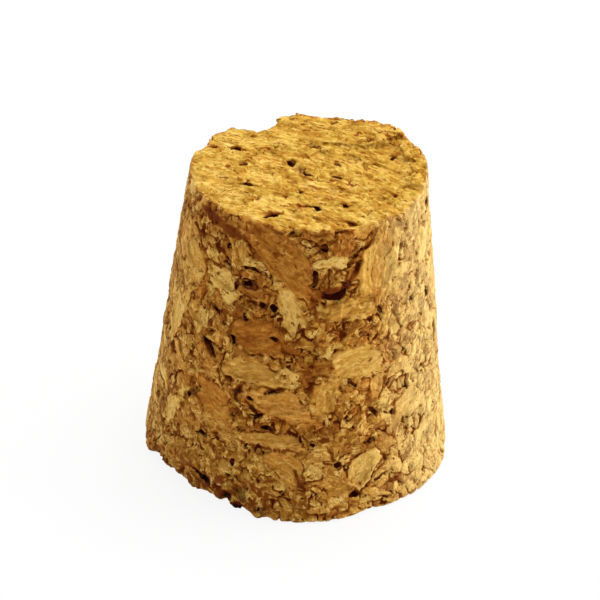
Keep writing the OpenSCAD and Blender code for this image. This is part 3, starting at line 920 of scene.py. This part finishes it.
class Finish:
    """A material's node tree, with short ways to add and join nodes."""

    def __init__(self, name, owner=None):
        self.material = owner or bpy.data.materials.new(name)
        self.material.use_nodes = True
        self.tree = self.material.node_tree
        self.tree.nodes.clear()

    def join(self, socket, value):
        """Links what another node puts out to a socket, or sets the socket to a plain value."""
        if isinstance(value, bpy.types.NodeSocket):
            self.tree.links.new(value, socket)
        else:
            socket.default_value = value

    def node(self, kind, settings=None, **inputs):
        """Adds a node. An input is named as its socket is, or i and its number."""
        made = self.tree.nodes.new(kind)
        for name, value in (settings or {}).items():
            setattr(made, name, value)
        for name, value in inputs.items():
            numbered = name[0] == "i" and name[1:].isdigit()
            self.join(made.inputs[int(name[1:]) if numbered else name], value)
        return made

    def maths(self, operation, a, b=0.0, c=0.0, clamp=False):
        settings = {"operation": operation, "use_clamp": clamp}
        return self.node("ShaderNodeMath", settings, i0=a, i1=b, i2=c).outputs[0]

    def vector_maths(self, operation, a, b):
        return self.node("ShaderNodeVectorMath", {"operation": operation}, i0=a, i1=b).outputs[0]

    def times(self, a, b):
        return self.maths("MULTIPLY", a, b)

    def larger(self, first, *others):
        for other in others:
            first = self.maths("MAXIMUM", first, other)
        return first

    def plus(self, value, share, more):
        """The value and a share of something more, or less where the share is below 0."""
        return self.maths("MULTIPLY_ADD", more, share, value)

    def varied(self, value, contrast, pattern):
        """The value moved up and down by a pattern, as far as the contrast says."""
        return self.plus(value, contrast, self.maths("SUBTRACT", pattern, 0.5))

    def lessened(self, value, share, mask):
        """The value without a share of it where the mask is 1."""
        return self.times(value, self.plus(1.0, -share, mask))

    def between(self, value, low, high):
        """0 at low and 1 at high, smooth between them."""
        made = self.node("ShaderNodeMapRange", {"interpolation_type": "SMOOTHSTEP"}, Value=value)
        made.inputs["From Min"].default_value = low
        made.inputs["From Max"].default_value = high
        return made.outputs[0]

    def stored(self, name, kind="Fac"):
        """What colour_granules stored under a name, as a number or as a Vector."""
        return self.node("ShaderNodeAttribute", {"attribute_name": name}).outputs[kind]

    def ramp(self, value, shades):
        """From the first shade at 0 to the last at 1, with the others evenly between."""
        made = self.node("ShaderNodeValToRGB", None, Fac=value)
        band = made.color_ramp
        while len(band.elements) < len(shades):
            band.elements.new(1.0)
        for k, (element, shade) in enumerate(zip(band.elements, shades)):
            element.position = k / (len(shades) - 1)
            element.color = shade
        return made.outputs[0]

    def mix(self, share, a, b):
        return self.node("ShaderNodeMix", {"data_type": "RGBA"}, i0=share, i6=a, i7=b).outputs[2]

    def number_mix(self, share, a, b):
        return self.node("ShaderNodeMix", {"data_type": "FLOAT"}, i0=share, i2=a, i3=b).outputs[0]

    def fractal(self, vector, scale, detail, roughness=0.55):
        settings = {"Vector": vector, "Scale": scale, "Detail": detail, "Roughness": roughness}
        return self.node("ShaderNodeTexNoise", None, **settings).outputs[0]

    def fractal_vector(self, vector, scale):
        return self.node("ShaderNodeTexNoise", None, Vector=vector, Scale=scale, Detail=2.0).outputs[1]

    def crumbs(self, vector, scale):
        """Small soft-edged cells, each with its own number from 0 to 1."""
        settings = {"Vector": vector, "Scale": scale, "Smoothness": 0.3}
        cell = self.node("ShaderNodeTexVoronoi", {"feature": "SMOOTH_F1"}, **settings)
        return self.node("ShaderNodeSeparateColor", None, Color=cell.outputs["Color"]).outputs[0]

    def scaled(self, vector, factor):
        made = self.node("ShaderNodeVectorMath", {"operation": "SCALE"}, i0=vector)
        made.inputs["Scale"].default_value = factor
        return made.outputs[0]

    def shifted(self, vector, by, reach):
        """The vector moved about by a noise colour, up to half of reach each way."""
        centred = self.vector_maths("SUBTRACT", by, (0.5, 0.5, 0.5))
        return self.vector_maths("ADD", vector, self.scaled(centred, reach))

    def stretched(self, vector, scale):
        return self.node("ShaderNodeMapping", None, Vector=vector, Scale=scale).outputs[0]

    def along_axes(self, vector):
        return self.node("ShaderNodeSeparateXYZ", None, Vector=vector).outputs

    def round_blade(self, vector):
        """Places as the saw met them: along its cut, out from its centre, and up."""
        middle = (BLADE_CENTRE[0], BLADE_CENTRE[1], 0.0)
        axes = self.along_axes(self.vector_maths("SUBTRACT", vector, middle))
        along = self.times(self.maths("ARCTAN2", axes["Y"], axes["X"]), BLADE_RADIUS)
        east = self.times(axes["X"], axes["X"])
        out = self.maths("SQRT", self.maths("MULTIPLY_ADD", axes["Y"], axes["Y"], east))
        return self.node("ShaderNodeCombineXYZ", None, X=along, Y=out, Z=axes["Z"]).outputs[0]


# From the darkest granules to the palest: a warm and a yellow row, and one for the sawn face
WARM_CORK = [
    colour(126, 62, 12),
    colour(160, 92, 28),
    colour(190, 120, 42),
    colour(216, 154, 66),
    colour(240, 190, 96),
]
YELLOW_CORK = [
    colour(128, 74, 18),
    colour(160, 106, 36),
    colour(192, 138, 54),
    colour(220, 170, 78),
    colour(244, 202, 112),
]
SAWN_CORK = [
    colour(144, 86, 20),
    colour(182, 131, 38),
    colour(210, 167, 66),
    colour(233, 194, 96),
    colour(250, 216, 132),
]
# the mid and red browns that flaws, brown patches, dark marks and the partly painted shade of cracks and
# hollows darken the cork to
MID_BROWN = colour(150, 84, 20)
RED_BROWN = colour(108, 40, 8)
# painted shade: the dark red browns painted in the solid's voids, on the side and on the sawn face
VOID_SHADE_BROWN = colour(96, 34, 8)
SAWN_VOID_SHADE = colour(136, 62, 16)
# painted shadow: the near-black core of the darkest marks, in deep cracks and gaps
CRACK_SHADOW_BROWN = colour(38, 16, 6)
# painted light: the pale colour towards which the brightly lit sides are painted
PAINTED_LIGHT_CORK = colour(236, 208, 136)

# How far each pattern moves the cork's shade, which runs from 0 at the darkest to 1 at the palest
FIBRE_CONTRAST = 1.5
MOTTLE_CONTRAST = 0.8
STREAK_CONTRAST = 1.4
CRUMB_CONTRAST = 0.7
BORDER_SHADE = -0.30  # darker near a granule's border
FLOOR_BOUNCE_PAINT = 0.07  # painted bounce light from the floor: paler at the foot
# painted light: how much paler the brightly lit sides are painted
PAINTED_LIGHT_SHADE = 0.06
OVERALL_SHADE = 0.12
SAWN_SHADE = 0.44
FLAKE_CONTRAST = 1.2
SLIVER_CONTRAST = 1.1
SAWN_TONE_CONTRAST = 0.4
SAWN_CRUMB_CONTRAST = 0.30
LEFT_SHADE = 0.12  # the sawn face is paler on its left

FOOT = (14.0, 2.0)  # the heights at which the side starts to pale towards its foot with painted bounce light from the floor, and is pale
LEFT = (0.0, -10.0)  # the same across the sawn face, towards its left
PAINTED_LIGHT_PALING = (0.38, 0.58)  # how far the painted light pales the darkest and the palest cork

# How dark each kind of flaw is, where 1 is a red brown
NICK_DEPTH = 0.7
FLECK_DEPTH = 0.6
FOLD_DEPTH = 0.45
SAWN_NICK_DEPTH = 0.6
SAWN_FOLD_DEPTH = 0.25
# the hollows between granules, partly painted shade
HOLLOW_SHADE = 0.9
BROWN_PATCH_DEPTH = 0.45
PIT_DEPTH = 0.95

BUMP_DEPTH = 0.15  # millimetres
GLOW_DEPTH = 0.5  # how deep light wanders in the cork, in millimetres


class Cork(Finish):
    """The stopper's finish, from what colour_granules stored and from patterns of its own."""

    def __init__(self):
        super().__init__("cork")
        self.tone = self.stored("tone")
        # painted light: where the brightly lit sides are painted paler
        self.side_light_paint = self.stored("painted_side_light")
        self.rough = self.stored("rough")
        self.dark_mark = self.stored("dark_mark")
        self.sawn = self.stored("sawn")
        self.border = self.stored("border")
        self.near_border = self.between(self.border, 0.45, 0.0)
        self.place = self.scaled(self.node("ShaderNodeTexCoord").outputs["Object"], 1.0 / MM)
        self.axes = self.along_axes(self.place)
        # near the foot: where bounce light from the floor is painted, and where more folds show
        self.foot = self.between(self.axes["Z"], *FOOT)
        self.torn_place = self.shifted(self.place, self.fractal_vector(self.place, 1.6), 0.5)
        grain = self.stored("grain", "Vector")
        self.torn_grain = self.shifted(grain, self.fractal_vector(self.place, 1.2), 0.7)
        self.cut_place = self.round_blade(self.torn_place)
        self.fibres = self.along_grain((0.45, 3.0, 3.0), scale=1.0, detail=4.0, roughness=0.6)
        self.fine = self.fractal(self.place, scale=2.6, detail=3.0, roughness=0.6)
        self.mottle = self.fractal(self.place, scale=1.3, detail=4.0, roughness=0.65)
        self.slivers = self.along_cut((1.1, 3.2, 2.0), scale=1.0, detail=3.0, roughness=0.6)
        self.crumb_chance = self.crumbs(self.torn_place, scale=2.4)
        crumbly = self.plus(self.fractal(self.place, scale=0.7, detail=2.0), 0.5, self.rough)
        crumbly = self.between(crumbly, 0.62, 0.82)
        self.crumb_tone = self.times(self.maths("SUBTRACT", self.crumb_chance, 0.5), crumbly)
        folds = self.along_grain((0.8, 1.6, 1.6), scale=1.2, detail=3.0, roughness=0.6)
        self.fold = self.between(self.maths("ABSOLUTE", self.maths("SUBTRACT", folds, 0.5)), 0.030, 0.0)

    def along_grain(self, stretch, scale, detail, roughness):
        """Noise that follows each granule's own grain."""
        return self.fractal(self.stretched(self.torn_grain, stretch), scale, detail, roughness)

    def along_cut(self, stretch, scale, detail, roughness):
        """Noise that follows the blade's cut across the sawn face."""
        return self.fractal(self.stretched(self.cut_place, stretch), scale, detail, roughness)

    def granule_shade(self):
        """How pale each granule is: its tone with its fibres, mottle, crumbs and dark borders, and painted
        light on the brightly lit sides and at the foot.
        """
        upright = self.stretched(self.torn_place, (2.4, 2.4, 0.4))
        upright = self.fractal(upright, scale=1.0, detail=3.0, roughness=0.6)
        # upright streaks, drawn only where light is painted on the sides
        streaks = self.times(self.maths("SUBTRACT", upright, 0.5), self.side_light_paint)
        shade = self.varied(self.tone, FIBRE_CONTRAST, self.fibres)
        shade = self.varied(shade, MOTTLE_CONTRAST, self.mottle)
        shade = self.plus(shade, STREAK_CONTRAST, streaks)
        shade = self.plus(shade, CRUMB_CONTRAST, self.crumb_tone)
        shade = self.plus(shade, PAINTED_LIGHT_SHADE, self.side_light_paint)
        shade = self.maths("ADD", shade, OVERALL_SHADE)
        # painted bounce light from the floor, paler at the foot
        shade = self.plus(shade, FLOOR_BOUNCE_PAINT, self.foot)
        return self.plus(shade, BORDER_SHADE, self.times(self.near_border, self.mottle))

    def granules(self):
        """The granules' colours, yellow to warm brown, and painted paler where light falls strongly on the
        sides.
        """
        shade = self.granule_shade()
        # less warm where light is painted on the sides, and where bounce light from the floor is painted at
        # the foot
        warm = self.lessened(self.stored("warmth"), 0.8, self.side_light_paint)
        warm = self.lessened(warm, 0.6, self.foot)
        cork = self.mix(warm, self.ramp(shade, YELLOW_CORK), self.ramp(shade, WARM_CORK))
        # painted light: the brightly lit sides painted towards a pale colour
        light_paling = self.times(self.side_light_paint, self.number_mix(self.between(shade, 0.1, 0.9), *PAINTED_LIGHT_PALING))
        return self.mix(light_paling, cork, PAINTED_LIGHT_CORK)

    def granule_flaws(self):
        """Short dark nicks along the grain, flecks, and the dark lines of folds."""
        nick_field = self.along_grain((0.9, 2.8, 2.8), scale=1.1, detail=3.0, roughness=0.6)
        nick_low = self.plus(0.64, -0.08, self.rough)
        nick = self.between(self.maths("SUBTRACT", nick_field, nick_low), 0.0, 0.10)
        fleck_field = self.fractal(self.stretched(self.place, (1.7, 1.7, 0.9)), scale=1.0, detail=2.0)
        # flecks, a few more where light is painted on the sides
        fleck = self.between(self.plus(fleck_field, 0.07, self.side_light_paint), 0.70, 0.74)
        creased = self.plus(self.plus(self.mottle, 0.25, self.rough), 0.20, self.foot)
        fold = self.times(self.fold, self.between(creased, 0.55, 0.80))
        return self.larger(
            self.times(nick, NICK_DEPTH),
            self.times(fleck, FLECK_DEPTH),
            self.times(fold, FOLD_DEPTH),
        )

    def sawn_granules(self, granules):
        """The sawn face: golden flakes that lie the way the blade passed, over the granules."""
        flakes = self.along_cut((0.45, 1.4, 1.0), scale=1.0, detail=4.0, roughness=0.62)
        shade = self.varied(SAWN_SHADE, FLAKE_CONTRAST, flakes)
        shade = self.varied(shade, SLIVER_CONTRAST, self.slivers)
        shade = self.varied(shade, SAWN_TONE_CONTRAST, self.tone)
        shade = self.varied(shade, SAWN_CRUMB_CONTRAST, self.crumb_chance)
        shade = self.plus(shade, LEFT_SHADE, self.between(self.axes["X"], *LEFT))
        return self.mix(0.85, granules, self.ramp(shade, SAWN_CORK))

    def sawn_flaws(self):
        """Short dark nicks that lie the way the blade passed, and faint folds."""
        nick_field = self.along_cut((0.55, 1.9, 1.0), scale=1.3, detail=3.0, roughness=0.6)
        nick = self.between(nick_field, 0.58, 0.66)
        return self.larger(self.times(nick, SAWN_NICK_DEPTH), self.times(self.fold, SAWN_FOLD_DEPTH))

    def crevices(self, ragged):
        """The cracks and hollows between granules, dark partly as the cork's own gaps and partly as painted
        shade.
        """
        opening = self.stored("opening")
        edge = self.plus(self.border, 0.25, ragged)
        width = self.plus(0.10, 0.25, opening)
        crack = self.maths("SUBTRACT", 1.0, self.maths("DIVIDE", edge, width), clamp=True)
        crack = self.times(self.between(crack, 0.0, 1.0), self.plus(0.05, 0.8, opening))
        hollow = self.between(self.plus(self.stored("hollow"), 0.6, ragged), 0.25, 0.55)
        return self.larger(crack, self.times(hollow, HOLLOW_SHADE))

    def darkness(self, crevice, pit, flaws):
        """How dark the cork is, from flaws, brown patches, pits, dark marks and the partly painted shade of
        cracks and hollows: 0 where it has its own colour and 1 where it is red brown.
        """
        dark = self.lessened(crevice, 0.35, self.sawn)
        # brown patches along the grain, fewer on the sawn face
        brown_patch = self.along_grain((0.6, 1.4, 1.4), scale=0.9, detail=4.0, roughness=0.65)
        brown_patch = self.between(brown_patch, 0.54, 0.72)
        brown_patch = self.times(brown_patch, self.plus(BROWN_PATCH_DEPTH, -BROWN_PATCH_DEPTH, self.sawn))
        patchy = self.between(self.plus(self.fine, 0.35, self.dark_mark), 0.42, 0.62)
        broken = self.times(self.dark_mark, self.plus(0.45, 0.55, patchy))
        # the dark marks half washed out where light is painted on the sides
        return self.lessened(self.larger(dark, brown_patch, pit, broken, flaws), 0.5, self.side_light_paint)

    def height(self, crevice, pit, flaws):
        """How high the fine forms of the surface stand, for the bump."""
        grit = self.fractal(self.place, scale=2.4, detail=4.0, roughness=0.65)
        height = self.plus(self.times(grit, 0.6), 0.4, self.fibres)
        height = self.plus(height, 0.4, self.crumb_tone)
        height = self.plus(height, -1.0, flaws)
        sawn_height = self.plus(self.times(self.slivers, 2.0), 0.6, self.crumb_chance)
        height = self.plus(height, self.sawn, sawn_height)
        return self.plus(height, -0.6, self.larger(crevice, pit))

    def surface(self, cork, height):
        """The shader itself: dull, with a faint sheen and a warm glow from within."""
        bump = self.node("ShaderNodeBump", None, Strength=0.6, Distance=BUMP_DEPTH * MM, Height=height)
        shader = self.node("ShaderNodeBsdfPrincipled", None, **{
            "Base Color": cork,
            "Normal": bump.outputs[0],
            "Roughness": 0.9,
            "Subsurface Weight": 0.25,
            "Subsurface Radius": (1.0, 0.35, 0.10),
            "Subsurface Scale": GLOW_DEPTH * MM,
            "Specular IOR Level": 0.04,
            "Sheen Weight": 0.1,
            "Sheen Roughness": 0.4,
            "Sheen Tint": (1.0, 0.75, 0.45, 1.0),
        })
        self.node("ShaderNodeOutputMaterial", None, Surface=shader.outputs[0])


def cork_finish():
    """Granules, then the sawn face, then what darkens both: flaws, dark marks and cracks, partly painted
    shade, and painted shade in the voids.
    """
    f = Cork()
    granules = f.granules()
    cork = f.mix(f.sawn, granules, f.sawn_granules(granules))
    flaws = f.number_mix(f.sawn, f.granule_flaws(), f.sawn_flaws())
    ragged = f.maths("SUBTRACT", f.fine, 0.5)
    crevice = f.crevices(ragged)
    pit = f.between(f.fractal(f.torn_place, scale=2.1, detail=2.0), 0.57, 0.66)
    pit = f.times(pit, f.times(f.near_border, f.plus(PIT_DEPTH, -PIT_DEPTH, f.sawn)))
    dark = f.darkness(crevice, pit, flaws)
    # darkened by flaws, brown patches, dark marks and the partly painted shade of cracks and hollows
    cork = f.mix(f.between(dark, 0.0, 0.55), cork, MID_BROWN)
    cork = f.mix(f.between(dark, 0.35, 1.0), cork, RED_BROWN)
    # painted shade in the solid's voids, darker the deeper they go, and less of it where light is painted
    # on the sides
    void = f.between(f.plus(f.stored("void"), 0.9, ragged), 0.10, 0.50)
    void = f.lessened(void, 0.3, f.side_light_paint)
    cork = f.mix(void, cork, f.mix(f.sawn, VOID_SHADE_BROWN, SAWN_VOID_SHADE))
    # the near-black core of painted shadow in the darkest marks
    cork = f.mix(f.between(f.dark_mark, 0.9, 1.3), cork, CRACK_SHADOW_BROWN)
    f.surface(cork, f.height(crevice, pit, flaws))
    return f.material


# ---------------------------------------------------------------------------
# Floor, light and camera
# ---------------------------------------------------------------------------
def seen_plainly(f):
    """1 for what is seen straight on, in a reflection or through glass, and 0 for its light."""
    path = f.node("ShaderNodeLightPath").outputs
    return f.larger(path["Is Camera Ray"], path["Is Glossy Ray"], path["Is Transmission Ray"])


PAPER = (0.85, 0.85, 0.85, 1.0)
WHITE = (1.0, 1.0, 1.0, 1.0)
WHITENESS = 0.88  # the share of plain white in the floor, whose rest takes light and shadow


def paper_floor():
    bpy.ops.mesh.primitive_plane_add(size=2.0, location=(0, 0, 0))
    floor = bpy.context.active_object
    floor.name = "paper_floor"
    f = Finish("paper")
    paper = f.node("ShaderNodeBsdfPrincipled", None, **{"Base Color": PAPER, "Roughness": 0.9})
    white = f.node("ShaderNodeEmission", None, Color=WHITE, Strength=1.0)
    share = f.times(seen_plainly(f), WHITENESS)
    mixed = f.node("ShaderNodeMixShader", None, Fac=share, i1=paper.outputs[0], i2=white.outputs[0])
    output = f.node("ShaderNodeOutputMaterial")
    f.tree.links.new(mixed.outputs[0], output.inputs[0])
    floor.data.materials.append(f.material)


# The lamps: name, place, size, power
LAMPS = [
    ("key", (0.06, 0.08, 0.34), 0.18, 0.90),
    ("left", (-0.28, 0.16, 0.08), 0.20, 0.22),
    ("right", (0.30, 0.04, 0.10), 0.20, 0.60),
]
LAMP_AIM = Vector((0.0, 0.0, 0.018))
SKY = 0.49  # strength of the light from all round


def soft_light(name, place, size, power):
    data = bpy.data.lights.new(name, "AREA")
    data.shape = "SQUARE"
    data.size = size
    data.energy = power
    lamp = bpy.data.objects.new(name, data)
    lamp.location = place
    lamp.rotation_euler = (LAMP_AIM - Vector(place)).to_track_quat("-Z", "Y").to_euler()
    bpy.context.scene.collection.objects.link(lamp)


def studio_light():
    world = bpy.data.worlds.new("studio")
    bpy.context.scene.world = world
    f = Finish("studio", world)
    dim = f.node("ShaderNodeBackground", None, Color=WHITE, Strength=SKY)
    white = f.node("ShaderNodeBackground", None, Color=WHITE, Strength=1.0)
    mixed = f.node("ShaderNodeMixShader", None, Fac=seen_plainly(f), i1=dim.outputs[0], i2=white.outputs[0])
    output = f.node("ShaderNodeOutputWorld")
    f.tree.links.new(mixed.outputs[0], output.inputs[0])
    for lamp in LAMPS:
        soft_light(*lamp)


CAMERA_PLACE = Vector((0.0, -0.189784, 0.138594))
CAMERA_AIM = Vector((-0.000208, 0.0, 0.016269))
CAMERA_ROLL = 0.0517  # the camera leans a little, so that the stopper leans to the right
CAMERA_LENS = 130.8


def studio_camera():
    data = bpy.data.cameras.new("camera")
    data.lens = CAMERA_LENS
    data.sensor_width = 36.0
    data.clip_start = 0.01
    camera = bpy.data.objects.new("camera", data)
    bpy.context.scene.collection.objects.link(camera)
    look = (CAMERA_AIM - CAMERA_PLACE).to_track_quat("-Z", "Y")
    roll = Matrix.Rotation(CAMERA_ROLL, 4, "Z")
    camera.matrix_world = Matrix.Translation(CAMERA_PLACE) @ look.to_matrix().to_4x4() @ roll
    bpy.context.scene.camera = camera


studio_camera()
studio_light()
paper_floor()
cork_stopper()
bpy.context.scene.view_settings.view_transform = "Standard"
